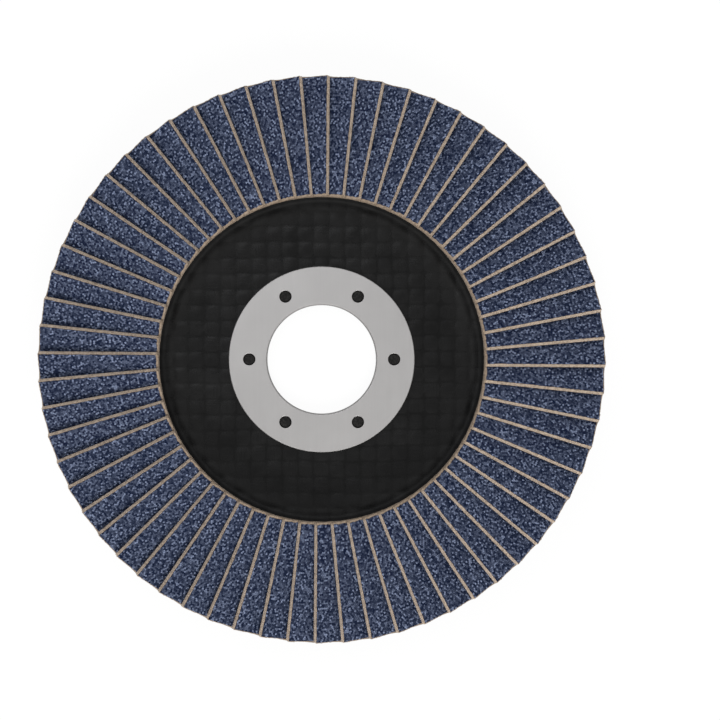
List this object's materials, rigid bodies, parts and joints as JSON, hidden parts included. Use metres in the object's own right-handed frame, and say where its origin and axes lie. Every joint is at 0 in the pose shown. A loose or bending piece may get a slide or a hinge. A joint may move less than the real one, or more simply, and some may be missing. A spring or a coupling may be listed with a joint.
{
  "type": "flap disc",
  "caption": "Round abrasive flap disc: overlapping coated-cloth flaps glued to a dished glass-fibre plate, with a steel-lined spindle bore.",
  "frame": {"origin": "on the bore's axis, on the back of the hub, where the grinder's flange seats", "axes": "+Z along the bore's axis, out of the working face; +X through one keying hole of the steel ring"},
  "size_m": [0.115, 0.115, 0.015],
  "materials": {
    "laminate": "black woven glass-fibre laminate, satin",
    "ring_steel": "plain stamped steel, satin",
    "adhesive": "dark brown cured resin",
    "abrasive_cloth": "blue-grey grain on tan cotton cloth"
  },
  "bodies": {
    "root": {"backing_plate": "laminate", "centre_ring": "ring_steel", "adhesive_bed": "adhesive", "flap_pair_01": "abrasive_cloth", "flap_pair_02": "abrasive_cloth", "flap_pair_03": "abrasive_cloth", "flap_pair_04": "abrasive_cloth", "flap_pair_05": "abrasive_cloth", "flap_pair_06": "abrasive_cloth", "flap_pair_07": "abrasive_cloth", "flap_pair_08": "abrasive_cloth", "flap_pair_09": "abrasive_cloth", "flap_pair_10": "abrasive_cloth", "flap_pair_11": "abrasive_cloth", "flap_pair_12": "abrasive_cloth", "flap_pair_13": "abrasive_cloth", "flap_pair_14": "abrasive_cloth", "flap_pair_15": "abrasive_cloth", "flap_pair_16": "abrasive_cloth", "flap_pair_17": "abrasive_cloth", "flap_pair_18": "abrasive_cloth", "flap_pair_19": "abrasive_cloth", "flap_pair_20": "abrasive_cloth", "flap_pair_21": "abrasive_cloth", "flap_pair_22": "abrasive_cloth", "flap_pair_23": "abrasive_cloth", "flap_pair_24": "abrasive_cloth", "flap_pair_25": "abrasive_cloth", "flap_pair_26": "abrasive_cloth", "flap_pair_27": "abrasive_cloth", "flap_pair_28": "abrasive_cloth", "flap_pair_29": "abrasive_cloth", "flap_pair_30": "abrasive_cloth", "flap_pair_31": "abrasive_cloth", "flap_pair_32": "abrasive_cloth"}
  },
  "joints": []
}
